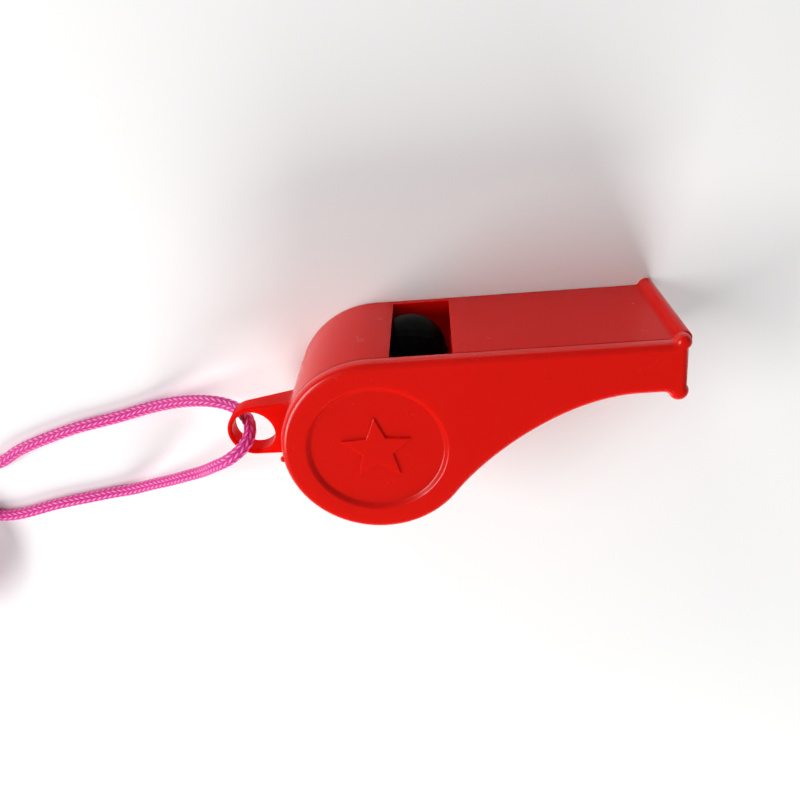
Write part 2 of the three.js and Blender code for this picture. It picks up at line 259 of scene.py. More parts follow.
@dataclass(frozen=True)
class MouldedPlastic:
    """Satin moulded plastic with a soft skin, flow marks and fine handling scratches.

    Attributes:
        name: The material's name.
        colour: Its usual colour.
        deep: Its colour where it is a little denser.
        index: Its index of refraction, lower where its skin is duller.
        glow: How much of its light comes from within.
        glow_reach: How far red light travels within, in metres.
        glow_shares: How far red, green and blue light travel, as shares of that.
        roughness: Its roughness where it is smooth, and where it is rubbed.
        gloss: How much it mirrors on the lanyard eye, where it is turned down as painted shade, and
            elsewhere.
        eye_shade_fades: Where the eye's painted shade starts to fade, and where it is gone, along X
            in metres.
        density: Where it is denser.
        rub: Where it is rubbed.
        ripple: Its skin's slow waves.
        grain: Its skin's fine grain.
        scratches: Its fine scratches.
    """

    name: str
    colour: Point
    deep: Point
    index: float
    glow: float
    glow_reach: float
    glow_shares: Point = (1.0, 0.08, 0.04)
    roughness: tuple[float, float] = (0.23, 0.28)
    gloss: tuple[float, float] = (0.1, 0.5)
    eye_shade_fades: tuple[float, float] = (-0.0112, -0.0096)
    density: Noise = Noise(160, 3, 0.35, 0.7)
    rub: Noise = Noise(420, 6, 0.3, 0.75)
    ripple: Noise = Noise(220, 1, height=1e-5)
    grain: Noise = Noise(6500, 2, height=6e-7)
    scratches: Noise = Noise(900, 2, 0.62, 0.66, (1.0, 14.0, 1.0), 2e-7)

    def make(self) -> bpy.types.Material:
        """Writes the material.

        Returns:
            The finished material.
        """
        nodes = Nodes(self.name)
        ripple = nodes.bump(nodes.noise(self.ripple), self.ripple.height)
        grain = nodes.bump(nodes.noise(self.grain), self.grain.height, ripple)
        place = nodes.add("ShaderNodeSeparateXYZ", {"Vector": nodes.object_place}).outputs
        return nodes.finish({
            "Base Color": nodes.blend(nodes.patches(self.density), self.colour, self.deep),
            "Roughness": nodes.patches(self.rub, *self.roughness),
            "IOR": self.index,
            "Normal": nodes.bump(nodes.patches(self.scratches), self.scratches.height, grain),
            "Subsurface Weight": self.glow,
            "Subsurface Radius": self.glow_shares,
            "Subsurface Scale": self.glow_reach,
            # The lanyard eye mirrors less: painted shade, standing in for dark surroundings in its
            # reflection
            "Specular IOR Level": nodes.ramp(place["X"], *self.eye_shade_fades, *self.gloss),
        })


@dataclass(frozen=True)
class BallPlastic:
    """Dull black moulded plastic with a scuffed skin.

    Attributes:
        name: The material's name.
        colour: Its colour.
        scuffed: Its colour where it is scuffed.
        index: Its index of refraction, low because its skin is dull.
        roughness: Its roughness where it is whole, and where it is scuffed.
        scuffs: Where it is scuffed.
        pits: Its skin's pits.
    """

    name: str
    colour: Point
    scuffed: Point
    index: float = 1.12
    roughness: tuple[float, float] = (0.45, 0.6)
    scuffs: Noise = Noise(700, 7, 0.52, 0.72)
    pits: Noise = Noise(3200, 3, height=6e-6)

    def make(self) -> bpy.types.Material:
        """Writes the material.

        Returns:
            The finished material.
        """
        nodes = Nodes(self.name)
        scuffs = nodes.patches(self.scuffs)
        return nodes.finish({
            "Base Color": nodes.blend(scuffs, self.colour, self.scuffed),
            "Roughness": nodes.ramp(scuffs, 0.0, 1.0, *self.roughness),
            "IOR": self.index,
            "Normal": nodes.bump(nodes.noise(self.pits), self.pits.height),
        })


@dataclass(frozen=True)
class BraidedYarn:
    """Shiny braided yarn, with painted shade in its grooves and a painted highlight on its crests.

    Attributes:
        name: The material's name.
        groove_shade: Painted shade, the colour between the stitches.
        yarn: Colour of the stitches.
        crest_highlight: Painted highlight, the colour of the stitches' shiny crests.
        fills: How high a stitch stands where the yarn's colour starts over the painted groove
            shade, and where it is full.
        shines: How high it stands where the painted crest highlight starts, and where it is full.
        roughness: Its roughness.
        sheen: How much its loose fibres shine.
        sheen_roughness: How wide that shine is.
        sheen_tint: The colour of that shine.
        stitch_height: How high the stitches stand as a bump, in metres.
        fibres: The yarn's fibres.
    """

    name: str
    groove_shade: Point
    yarn: Point
    crest_highlight: Point
    fills: tuple[float, float] = (0.1, 0.55)
    shines: tuple[float, float] = (0.68, 0.98)
    roughness: float = 0.42
    sheen: float = 0.15
    sheen_roughness: float = 0.4
    sheen_tint: Point = (1.0, 0.75, 0.9)
    stitch_height: float = 1.1e-4
    fibres: Noise = Noise(9000, 3, height=1.4e-5)

    def make(self) -> bpy.types.Material:
        """Writes the material, whose stitches follow the cord's own UV map.

        Returns:
            The finished material.
        """
        nodes = Nodes(self.name)
        braid = Braid()
        run = nodes.add("ShaderNodeUVMap", uv_map=CORD_RUN).outputs["UV"]
        place = nodes.add("ShaderNodeSeparateXYZ", {"Vector": run}).outputs
        across = nodes.math("MULTIPLY", place["X"], braid.columns)
        lean = nodes.math("MODULO", nodes.math("FLOOR", across), 2.0)
        lean = nodes.math("MULTIPLY_ADD", lean, 2 * braid.slant, -braid.slant)
        across = nodes.math("FRACT", across)
        along = nodes.math("MULTIPLY_ADD", lean, nodes.math("SUBTRACT", across, 0.5), place["Y"])
        swell = nodes.math("ABSOLUTE", nodes.math("SINE", nodes.math("MULTIPLY", along, math.pi)))
        swell = nodes.math("POWER", swell, braid.end_fall)
        width = nodes.math("SINE", nodes.math("MULTIPLY", across, math.pi))
        stitch = nodes.math("MULTIPLY", nodes.math("POWER", width, braid.side_fall), swell)
        # The grooves between the stitches get painted shade, under the yarn's own colour
        body = nodes.blend(nodes.ramp(stitch, *self.fills), self.groove_shade, self.yarn)
        stitches = nodes.bump(stitch, self.stitch_height)
        return nodes.finish({
            # The stitches' crests get a painted highlight
            "Base Color": nodes.blend(nodes.ramp(stitch, *self.shines), body, self.crest_highlight),
            "Roughness": self.roughness,
            "Sheen Weight": self.sheen,
            "Sheen Roughness": self.sheen_roughness,
            "Sheen Tint": self.sheen_tint,
            "Normal": nodes.bump(nodes.noise(self.fibres), self.fibres.height, stitches),
        })


@dataclass(frozen=True)
class PaleCard:
    """The matt pale floor.

    Attributes:
        name: The material's name.
        colour: Its colour.
        roughness: Its roughness.
        gloss: How much it mirrors.
    """

    name: str
    colour: Point
    roughness: float = 0.9
    gloss: float = 0.1

    def make(self) -> bpy.types.Material:
        """Writes the material and returns it."""
        inputs = {"Base Color": self.colour, "Roughness": self.roughness}
        return Nodes(self.name).finish({**inputs, "Specular IOR Level": self.gloss})


Finish = MouldedPlastic | BallPlastic | BraidedYarn | PaleCard

BODY_RED = MouldedPlastic(
    "moulded_red_body", (0.63, 0.0045, 0.002), (0.615, 0.0042, 0.0019), 1.18, 0.6, 0.003
)
COVER_RED = MouldedPlastic(
    "moulded_red_cover", (0.68, 0.005, 0.0012), (0.665, 0.0047, 0.0011), 1.45, 0.4, 0.0025
)
BALL_BLACK = BallPlastic("moulded_black_ball", (0.0016, 0.0019, 0.0016), (0.005, 0.006, 0.005))
# Pink cord: painted shade in the grooves, the yarn's own colour, and a painted highlight on the
# crests
CORD_PINK = BraidedYarn(
    "braided_pink_yarn", (0.55, 0.006, 0.2), (0.85, 0.03, 0.34), (0.95, 0.36, 0.64)
)
FLOOR_WHITE = PaleCard("pale_card", (0.93, 0.93, 0.925))


def flat_way(turn_deg: float) -> Vector:
    """Gives a level direction."""
    turn = math.radians(turn_deg)
    return Vector((math.cos(turn), math.sin(turn), 0))


def pulled_curve(
    start: Vector, first: Vector, second: Vector, end: Vector, steps: int
) -> list[Vector]:
    """Works out points on a smooth curve that is pulled by two handles.

    Args:
        start: Where the curve starts, which is not among the points.
        first: The handle at its start.
        second: The handle at its end.
        end: Where it ends.
        steps: How many points there are.

    Returns:
        The points.
    """
    points = []
    for step in range(1, steps + 1):
        t = step / steps
        point = start * (1 - t) ** 3 + first * 3 * t * (1 - t) ** 2
        points.append(point + (second * 3 * t * t * (1 - t) + end * t**3))
    return points


def raise_faces(form: Form, rise: float) -> Form:
    """Raises flat faces to a closed plate.

    Args:
        form: The flat faces.
        rise: How thick the plate becomes.

    Returns:
        The plate.
    """
    raised = bmesh.ops.extrude_face_region(form, geom=form.faces[:])
    upper = [g for g in raised["geom"] if isinstance(g, bmesh.types.BMVert)]
    bmesh.ops.translate(form, vec=(0, 0, rise), verts=upper)
    bmesh.ops.recalc_face_normals(form, faces=form.faces[:])
    return form


class Pen:
    """Draws a closed flat outline with bmesh operators, in millimetres."""

    def __init__(self, x: float, y: float, height: float) -> None:
        """Puts the pen down.

        Args:
            x: Where the outline starts.
            y: Where the outline starts.
            height: The height that the outline lies at.
        """
        self.bm = bmesh.new()
        self.height = height
        self.start = bmesh.ops.create_vert(self.bm, co=(x, y, height))["vert"][0]
        self.tip = self.start

    def line(self, x: float, y: float) -> Pen:
        """Draws a straight line.

        Args:
            x: Where the line ends.
            y: Where the line ends.

        Returns:
            The pen.
        """
        made = bmesh.ops.extrude_vert_indiv(self.bm, verts=[self.tip])
        self.tip = made["verts"][0]
        self.tip.co = (x, y, self.height)
        return self

    def arc(self, x: float, y: float, turn_deg: float, step_deg: float = 2.0) -> Pen:
        """Draws an arc.

        Args:
            x: The arc's centre.
            y: The arc's centre.
            turn_deg: How far it turns, counterclockwise if positive.
            step_deg: The turn of each short side.

        Returns:
            The pen.
        """
        made = bmesh.ops.spin(
            self.bm,
            geom=[self.tip],
            cent=(x, y, self.height),
            axis=(0, 0, 1),
            angle=math.radians(turn_deg),
            steps=max(2, round(abs(turn_deg) / step_deg)),
            use_merge=False,
            use_duplicate=False,
        )
        self.tip = next(g for g in made["geom_last"] if isinstance(g, bmesh.types.BMVert))
        return self

    def curve(self, first: Vector, second: Vector, end: Vector, steps: int = 48) -> Pen:
        """Draws a smooth curve that is pulled by two handles.

        Args:
            first: The handle at the curve's start.
            second: The handle at its end.
            end: Where it ends.
            steps: How many short sides it has.

        Returns:
            The pen.
        """
        for place in pulled_curve(Vector(self.tip.co[:2]), first, second, end, steps):
            self.line(*place)
        return self

    def solid(self, top: float, inset: float = 0.0) -> Form:
        """Closes the outline and raises it to a plate.

        Args:
            top: The height of the plate's upper face.
            inset: How far the outline is moved inwards first.

        Returns:
            The plate as a closed form.
        """
        if (self.tip.co - self.start.co).length > TOUCH:
            bmesh.ops.contextual_create(self.bm, geom=[self.tip, self.start])
        bmesh.ops.remove_doubles(self.bm, verts=self.bm.verts[:], dist=WELD)
        face = bmesh.ops.edgeloop_fill(self.bm, edges=self.bm.edges[:])["faces"][0]
        if inset > 0:
            rim = bmesh.ops.inset_region(
                self.bm, faces=[face], thickness=inset, use_boundary=True, use_even_offset=True
            )
            bmesh.ops.delete(self.bm, geom=rim["faces"], context="FACES")
        return raise_faces(self.bm, top - self.height)


def rod(x: float, y: float, radius: float, low: float, high: float, segments: int = 60) -> Form:
    """Makes a round rod along the depth of the whistle.

    Args:
        x: The rod's axis.
        y: The rod's axis.
        radius: The rod's radius.
        low: Its lower end.
        high: Its upper end.
        segments: How many flat sides it has.

    Returns:
        The rod as a closed form.
    """
    form = bmesh.new()
    bmesh.ops.create_circle(form, cap_ends=True, segments=segments, radius=radius)
    bmesh.ops.translate(form, vec=(x, y, low), verts=form.verts[:])
    return raise_faces(form, high - low)


def round_rim(
    form: Form,
    chosen: Callable[[Vector], bool],
    radius: float,
    segments: int = 6,
) -> None:
    """Rounds the sharp edges of a form whose ends are both chosen.

    Args:
        form: The form.
        chosen: Says of a point whether it is on the edges to round.
        radius: The radius of the rounding.
        segments: How many strips it has.
    """
    sharp = math.radians(ROUNDED_PAST)
    edges = [
        e
        for e in form.edges
        if e.is_manifold and e.calc_face_angle(0) > sharp and all(chosen(v.co) for v in e.verts)
    ]
    bmesh.ops.bevel(
        form,
        geom=edges,
        offset=radius,
        offset_type="OFFSET",
        affect="EDGES",
        segments=segments,
        profile=0.5,
        material=-1,
        clamp_overlap=False,
        loop_slide=True,
    )


def at(height: float) -> Callable[[Vector], bool]:
    """Chooses the points at one height."""
    return lambda point: abs(point.z - height) < NEAR


def add_object(name: str, data: bpy.types.ID) -> bpy.types.Object:
    """Puts a new object into the scene.

    Args:
        name: The object's name.
        data: Its mesh, light or camera.

    Returns:
        The object.
    """
    item = bpy.data.objects.new(name, data)
    bpy.context.scene.collection.objects.link(item)
    return item


def add_form(form: Form, name: str) -> bpy.types.Object:
    """Puts a form into the scene as an object.

    Args:
        form: The form, which is used up.
        name: The object's name.

    Returns:
        The object.
    """
    mesh = bpy.data.meshes.new(name)
    form.to_mesh(mesh)
    form.free()
    return add_object(name, mesh)


def combine(base: Form, tool: Form, how: Combine) -> Form:
    """Joins two forms, or cuts one by the other.

    Args:
        base: The first form, which is used up.
        tool: The second form, which is used up.
        how: What is done with them.

    Returns:
        The result as a new form.
    """
    first, second = add_form(base, "form"), add_form(tool, "form")
    modifier = first.modifiers.new("combine", "BOOLEAN")
    modifier.operation = how.value
    modifier.solver = "MANIFOLD"
    modifier.object = second
    result = bmesh.new()
    result.from_object(first, bpy.context.evaluated_depsgraph_get())
    for item in (first, second):
        bpy.data.meshes.remove(item.data)
    bmesh.ops.dissolve_degenerate(result, dist=WELD, edges=result.edges[:])
    return result


@dataclass(frozen=True)
class Role:
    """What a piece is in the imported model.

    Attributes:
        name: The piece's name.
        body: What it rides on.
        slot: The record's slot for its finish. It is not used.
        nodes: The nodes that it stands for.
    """

    name: str
    body: Body
    slot: Slot
    nodes: tuple[str, ...]


def place_piece(form: Form, role: Role, finish: Finish) -> bpy.types.Object:
    """Makes a form a finished piece.

    Args:
        form: The form in metres, which is used up.
        role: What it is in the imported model.
        finish: What it is made of.

    Returns:
        The piece.
    """
    for face in form.faces:
        face.smooth = True
    piece = add_form(form, role.name)
    piece.data.materials.append(finish.make())
    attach(piece, role.body.value)
    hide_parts(*role.nodes)
    log.info("%s: %d faces", role.name, len(piece.data.polygons))
    return piece


def place_moulding(form: Form, role: Role, finish: Finish) -> None:
    """Scales a form to metres and makes it a finished piece with crisp creases.

    Args:
        form: The form in millimetres, which is used up.
        role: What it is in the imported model.
        finish: What it is made of.
    """
    bmesh.ops.scale(form, vec=(MM, MM, MM), verts=form.verts[:])
    piece = place_piece(form, role, finish)
    piece.data.set_sharp_from_angle(angle=math.radians(SHARP_PAST))
    weighted = piece.modifiers.new("even_shading", "WEIGHTED_NORMAL")
    weighted.keep_sharp = True
    weighted.weight = 100


@dataclass(frozen=True)
class Bead:
    """A lip bead's axis in the side view and its radius, in millimetres."""

    x: float
    y: float
    radius: float


@dataclass(frozen=True)
class WhistleSizes:
    """The sizes that the body and the cover share, in millimetres."""

    barrel_radius: float = 10.2
    width: float = 16.5
    cheek: float = 1.0
    cover: float = 1.4
    seam_gap: float = 0.05
    mouth_reach: float = 31.38
    mouth_height: float = 5.45
    mouth_flat: float = 4.35
    sweep_leaves_deg: float = -36.9
    sweep_barrel_pull: float = 5.4
    sweep_mouth_pull: float = 7.7
    barrel_wall: float = 1.2
    throat_inset: float = 0.6
    mouth_lean: float = 0.2
    top_bead: Bead = Bead(31.05, 10.1, 0.85)
    top_bead_end: Bead = Bead(30.8, 10.1, 0.85)
    top_bead_foot: float = 0.45
    low_bead: Bead = Bead(30.86, 4.72, 0.97)
    low_bead_foot: float = 0.9
    bead_step_deg: float = 5.0

    @property
    def seam(self) -> float:
        """Height of the body's upper rim."""
        return self.width - self.cover

    @property
    def cover_inside(self) -> float:
        """Height of the cover's inner face."""
        return self.seam + self.seam_gap

    @property
    def chamber(self) -> float:
        """Radius of the round chamber."""
        return self.barrel_radius - self.barrel_wall

    @property
    def under(self) -> float:
        """Height in the side view of the mouthpiece's flat underside."""
        return self.barrel_radius - self.mouth_height

    @property
    def throat(self) -> float:
        """Where the throat wall stands in the side view."""
        return self.chamber - self.throat_inset

    def mouth_x(self, y: float) -> float:
        """Where the mouth end stands, at a height in the side view."""
        return self.mouth_reach + self.mouth_lean * (self.barrel_radius - y) / self.mouth_height

    def bead_bounds(self, bead: Bead, flat_y: float, foot: float) -> tuple[Vector, float, float]:
        """Works out where the outline of a lip bead starts and ends.

        Args:
            bead: The bead.
            flat_y: Height in the side view of the long flat that leads to it.
            foot: Radius of the fillet between them, negative where the flat faces up.

        Returns:
            The fillet's centre, and the directions in degrees from the bead's axis to that
            centre and to where the bead meets the mouth end.
        """
        rise = flat_y - foot - bead.y
        back = math.sqrt((bead.radius + abs(foot)) ** 2 - rise**2)
        ahead = (self.mouth_x(bead.y) - bead.x) / bead.radius
        to_foot = math.degrees(math.atan2(rise, -back))
        to_mouth = math.copysign(math.degrees(math.acos(ahead)), foot)
        return Vector((bead.x - back, flat_y - foot)), to_foot, to_mouth

    def side_view(
        self, low: float, high: float, inset: float = 0.0, top: Bead | None = None
    ) -> Form:
        """Draws the whistle's side view and raises it to a plate.

        Args:
            low: The plate's lower face.
            high: Its upper face.
            inset: How far its sides are moved inwards.
            top: The bead over the mouth, where the plate has the two lip beads.

        Returns:
            The plate.
        """
        begin = flat_way(self.sweep_leaves_deg).xy * self.barrel_radius
        way = flat_way(self.sweep_leaves_deg + 90).xy
        flat_start = Vector((self.mouth_reach - self.mouth_flat, self.under))
        pen = Pen(0, self.barrel_radius, low)
        pen.arc(0, 0, 270 + self.sweep_leaves_deg)
        pen.curve(
            begin + way * self.sweep_barrel_pull,
            flat_start - Vector((self.sweep_mouth_pull, 0)),
            flat_start,
        )
        if top is None:
            pen.line(self.mouth_x(self.under), self.under)
            pen.line(self.mouth_reach, self.barrel_radius)
            return pen.solid(high, inset)
        bead, step = self.low_bead, self.bead_step_deg
        foot, to_foot, to_mouth = self.bead_bounds(bead, self.under, self.low_bead_foot)
        pen.line(foot.x, self.under)
        pen.arc(foot.x, foot.y, to_foot + 90, step)
        pen.arc(bead.x, bead.y, to_mouth - to_foot, step)
        foot, to_foot, to_mouth = self.bead_bounds(top, self.barrel_radius, -self.top_bead_foot)
        pen.line(*(Vector((top.x, top.y)) + flat_way(to_mouth).xy * top.radius))
        pen.arc(top.x, top.y, to_foot - to_mouth, step)
        pen.arc(foot.x, foot.y, 90 - to_foot, step)
        return pen.solid(high, inset)


@dataclass
class BodyMoulding:
    """The body shell: barrel, mouthpiece, chamber, air duct, window and lanyard eye."""

    sizes: WhistleSizes
    edge_radius: float = 0.3
    seam_edge: float = 0.11
    seam_strips: int = 3
    window_setback: float = 2.1
    lip: float = 0.2
    lip_taper_deg: float = 110.0
    duct_height: float = 3.2
    duct_floor: float = 1.2
    throat_ledge: float = 0.1
    pocket_wall: float = 0.9
    pocket_reach: float = 21.5
    pocket_sides: int = 180
    eye_reach: float = 14.98
    eye_droop_deg: float = 5.0
    eye_hole: float = 2.55
    eye_outer: float = 3.1
    eye_thickness: float = 2.5
    eye_edge: float = 0.24
    eye_strips: int = 5
    eye_root: float = 0.6
    eye_root_rise: float = 0.45
    eye_taper: float = 0.8
    eye_clear: float = 0.1
    eye_step_deg: float = 4.0
    eye_root_step_deg: float = 6.0
    cut_past: float = 3.0

    @property
    def roof(self) -> float:
        """Height in the side view of the duct's roof."""
        s = self.sizes
        return s.barrel_radius - (s.mouth_height - self.duct_height - self.duct_floor)

    @property
    def floor(self) -> float:
        """Height in the side view of the duct's floor."""
        return self.roof - self.duct_height

    def outside(self) -> Form:
        """Makes the outer form with its rounded rim and its beads.

        Returns:
            The closed form.
        """
        s = self.sizes
        form = s.side_view(0, s.seam, top=s.top_bead)
        round_rim(form, at(0), self.edge_radius)
        round_rim(form, at(s.seam), self.seam_edge, self.seam_strips)
        return form

    def air_space(self) -> Form:
        """Draws the chamber, the window and the duct as one cut.

        Returns:
            The form to cut away.
        """
        s = self.sizes
        end = s.mouth_reach + self.cut_past
        above = s.barrel_radius + self.cut_past
        window_end = s.throat + self.throat_ledge
        taper = flat_way(self.lip_taper_deg) * s.chamber
        turn = 360 + math.degrees(math.acos(s.throat / s.chamber)) - self.lip_taper_deg
        pen = Pen(end, self.roof, s.cheek)
        pen.line(window_end, self.roof)
        pen.line(window_end, above)
        pen.line(self.window_setback, above)
        pen.line(self.window_setback, s.barrel_radius - self.lip)
        pen.line(taper.x, taper.y)
        pen.arc(0, 0, turn)
        pen.line(s.throat, self.floor)
        pen.line(end, self.floor)
        return pen.solid(s.seam + self.cut_past)

    def pocket(self) -> Form:
        """Makes the hollow under the duct floor.

        Returns:
            The form to cut away.
        """
        s = self.sizes
        high = s.seam + self.cut_past
        ceiling = self.floor - self.duct_floor
        behind = s.throat + self.pocket_wall
        inner = s.side_view(s.cheek, high, self.pocket_wall)
        reach = Pen(behind, -s.barrel_radius, s.cheek)
        reach.line(self.pocket_reach, -s.barrel_radius)
        reach.line(self.pocket_reach, ceiling)
        reach.line(behind, ceiling)
        hollow = combine(inner, reach.solid(high), Combine.SHARE)
        wall = s.chamber + self.pocket_wall
        round_wall = rod(0, 0, wall, 0, high + 1, self.pocket_sides)
        return combine(hollow, round_wall, Combine.CUT)

    def eye_corner(self, reach: float) -> tuple[Vector, Vector, float]:
        """Works out the fillet between a side of the eye and the barrel.

        Args:
            reach: How far that side is from the eye's middle line.

        Returns:
            The fillet's centre, where it meets the barrel, and its turn in degrees.
        """
        rim = self.sizes.barrel_radius
        centre_y = reach + self.eye_root
        centre = Vector((-math.sqrt((rim + self.eye_root) ** 2 - centre_y**2), centre_y))
        turn = math.degrees(math.atan2(centre.y, -centre.x)) - 90
        return centre, centre.normalized() * rim, turn

    def eye(self) -> Form:
        """Makes the lanyard eye with its rounded rims.

        Returns:
            The closed form.
        """
        s = self.sizes
        low = (s.seam - self.eye_thickness) / 2
        high = low + self.eye_thickness
        under, under_meet, under_turn = self.eye_corner(self.eye_outer)
        above, above_meet, above_turn = self.eye_corner(self.eye_outer + self.eye_root_rise)
        pen = Pen(-self.eye_reach, self.eye_outer, low)
        pen.arc(-self.eye_reach, 0, 180, self.eye_step_deg)
        pen.line(under.x, -self.eye_outer)
        pen.arc(under.x, -under.y, under_turn, self.eye_root_step_deg)
        pen.line(-s.chamber, -under_meet.y)
        pen.line(-s.chamber, above_meet.y)
        pen.line(above_meet.x, above_meet.y)
        pen.arc(above.x, above.y, above_turn, self.eye_root_step_deg)
        hole = rod(-self.eye_reach, 0, self.eye_hole, low - 1, high + 1)
        form = combine(pen.solid(high), hole, Combine.CUT)

        def on_rims(point: Vector) -> bool:
            """Chooses the points on both faces of the eye, outside the barrel."""
            on_face = min(abs(point.z - low), abs(point.z - high)) < NEAR
            return on_face and point.x < -s.chamber - self.eye_clear

        round_rim(form, on_rims, self.eye_edge, self.eye_strips)
        for vert in form.verts:
            if vert.co.z > (low + high) / 2:
                inward = (vert.co.x + self.eye_reach) / (self.eye_reach - s.barrel_radius)
                vert.co.z += self.eye_taper * max(0.0, inward)
        turned = Matrix.Rotation(math.radians(self.eye_droop_deg), 3, "Z")
        bmesh.ops.rotate(form, cent=(0, 0, 0), matrix=turned, verts=form.verts[:])
        return form

    def build(self) -> None:
        """Puts the moulding together and dresses it."""
        form = combine(self.outside(), self.eye(), Combine.JOIN)
        for cut in (self.air_space(), self.pocket()):
            form = combine(form, cut, Combine.CUT)
        role = Role("body_moulding", Body.WHISTLE, Slot.RED, ("body_shell",))
        place_moulding(form, role, BODY_RED)


@dataclass
class CoverMoulding:
    """The side cover with its round recess, raised star, locating rim and gate mark."""

    sizes: WhistleSizes
    edge_radius: float = 0.8
    edge_strips: int = 12
    seam_edge: float = 0.1
    seam_strips: int = 3
    roundel_radius: float = 7.5
    roundel_depth: float = 0.45
    roundel_slope: float = 0.42
    roundel_fillet: float = 0.34
    roundel_steps: int = 8
    roundel_sides: int = 180
    star_points: int = 5
    star_tip: float = 3.9
    star_notch: float = 1.75
    star_rise: float = 0.25
    star_edge: float = 0.12
    star_strips: int = 4
    register_height: float = 0.8
    register_width: float = 0.8
    register_clearance: float = 0.12
    register_start_deg: float = 128.0
    register_end_deg: float = 335.0
    gate_radius: float = 0.35
    gate_deg: float = 184.0

    def outside(self) -> Form:
        """Makes the plate with its rounded rim and the ends of the beads.

        Returns:
            The closed form.
        """
        s = self.sizes
        form = s.side_view(s.cover_inside, s.width, top=s.top_bead_end)
        round_rim(form, at(s.width), self.edge_radius, self.edge_strips)
        round_rim(form, at(s.cover_inside), self.seam_edge, self.seam_strips)
        return form

    def roundel(self) -> Form:
        """Spins the cut for the round recess, its sloping wall rounded at foot and rim.

        Returns:
            The form to cut away.
        """
        s = self.sizes
        floor = s.width - self.roundel_depth
        above = s.width + 1
        tilt = math.atan2(self.roundel_depth, self.roundel_slope)
        fillet = self.roundel_fillet
        tangent = fillet * math.tan(tilt / 2)
        foot = self.roundel_radius - self.roundel_slope - tangent
        rim = self.roundel_radius + tangent
        bends = []
        for step in range(self.roundel_steps + 1):
            turn = tilt * step / self.roundel_steps
            bends.append((fillet * math.sin(turn), fillet * (1 - math.cos(turn))))
        profile = [(0, floor), *((foot + out, floor + up) for out, up in bends)]
        profile += [(rim - out, s.width - up) for out, up in reversed(bends)]
        profile += [(rim, above), (0, above)]
        cut = bmesh.new()
        verts = [bmesh.ops.create_vert(cut, co=(r, 0, z))["vert"][0] for r, z in profile]
        for a, b in zip(verts, verts[1:]):
            bmesh.ops.contextual_create(cut, geom=[a, b])
        bmesh.ops.spin(
            cut,
            geom=cut.verts[:] + cut.edges[:],
            cent=(0, 0, 0),
            axis=(0, 0, 1),
            angle=math.tau,
            steps=self.roundel_sides,
            use_merge=True,
            use_duplicate=False,
        )
        bmesh.ops.remove_doubles(cut, verts=cut.verts[:], dist=TOUCH)
        bmesh.ops.recalc_face_normals(cut, faces=cut.faces[:])
        return cut

    def star(self) -> Form:
        """Makes the raised star on the recess floor.

        Returns:
            The closed form.
        """
        floor = self.sizes.width - self.roundel_depth
        top = floor + self.star_rise
        step_deg = 180 / self.star_points
        corners = []
        for i in range(2 * self.star_points):
            radius = self.star_notch if i % 2 else self.star_tip
            corners.append(flat_way(90 + i * step_deg).xy * radius)
        pen = Pen(*corners[0], floor - self.roundel_depth)
        for corner in corners[1:]:
            pen.line(*corner)
        form = pen.solid(top)
        round_rim(form, at(top), self.star_edge, self.star_strips)
        return form

    def register(self) -> Form:
        """Makes the rim that locates the cover in the chamber.

        Returns:
            The closed form.
        """
        s = self.sizes
        outer = s.chamber - self.register_clearance
        inner = outer - self.register_width
        start = flat_way(self.register_start_deg).xy * outer
        end = flat_way(self.register_end_deg).xy * inner
        turn = self.register_end_deg - self.register_start_deg
        pen = Pen(*start, s.cover_inside - self.register_height)
        pen.arc(0, 0, turn)
        pen.line(*end)
        pen.arc(0, 0, -turn)
        return pen.solid(s.cover_inside + s.cover / 2)

    def gate_mark(self) -> Form:
        """Makes the small nub that the moulding gate left on the rim.

        Returns:
            The closed form.
        """
        s = self.sizes
        gate = bmesh.new()
        bmesh.ops.create_icosphere(gate, subdivisions=3, radius=self.gate_radius)
        place = flat_way(self.gate_deg) * s.barrel_radius
        place.z = s.width - s.cover / 2
        bmesh.ops.translate(gate, vec=place, verts=gate.verts[:])
        return gate

    def build(self) -> None:
        """Puts the cover together and dresses it."""
        form = combine(self.outside(), self.roundel(), Combine.CUT)
        for part in (self.star(), self.register(), self.gate_mark()):
            form = combine(form, part, Combine.JOIN)
        role = Role("cover_moulding", Body.WHISTLE, Slot.RED, ("side_cover",))
        place_moulding(form, role, COVER_RED)


@dataclass
class LooseBall:
    """The loose ball with its parting line and the nub that its gate left."""

    radius: float = 4.05
    sides: int = 96
    place: Point = (3.9, 6.2053, 5.2)
    parting_way: Point = (-0.0996, -0.6702, 0.7355)
    ridge_rise: float = 0.035
    ridge_half_width: float = 0.06
    nub_way: Point = (0.975, 0.02, 0.13)
    nub_radius: float = 0.3
    nub_sink: float = 0.105

    def build(self) -> None:
        """Makes the ball and dresses it."""
        ball = bmesh.new()
        bmesh.ops.create_uvsphere(
            ball, u_segments=self.sides, v_segments=self.sides // 2, radius=self.radius
        )
        equator = [e for e in ball.edges if all(abs(v.co.z) < TOUCH for v in e.verts)]
        bmesh.ops.bevel(
            ball,
            geom=equator,
            offset=self.ridge_half_width,
            affect="EDGES",
            segments=2,
            profile=0.5,
            material=-1,
        )
        crest_highlight = [v for v in ball.verts if abs(v.co.z) < TOUCH]
        grow = 1 + self.ridge_rise / self.radius
        bmesh.ops.scale(ball, vec=(grow, grow, 1), verts=crest_highlight)
        turned = Vector((0, 0, 1)).rotation_difference(Vector(self.parting_way)).to_matrix()
        bmesh.ops.rotate(ball, cent=(0, 0, 0), matrix=turned, verts=ball.verts[:])
        nub = bmesh.new()
        bmesh.ops.create_icosphere(nub, subdivisions=2, radius=self.nub_radius)
        out = Vector(self.nub_way).normalized() * (self.radius - self.nub_sink)
        bmesh.ops.translate(nub, vec=out, verts=nub.verts[:])
        form = combine(ball, nub, Combine.JOIN)
        bmesh.ops.translate(form, vec=self.place, verts=form.verts[:])
        place_moulding(form, Role("loose_ball", Body.PEA, Slot.BLACK, ("pea",)), BALL_BLACK)


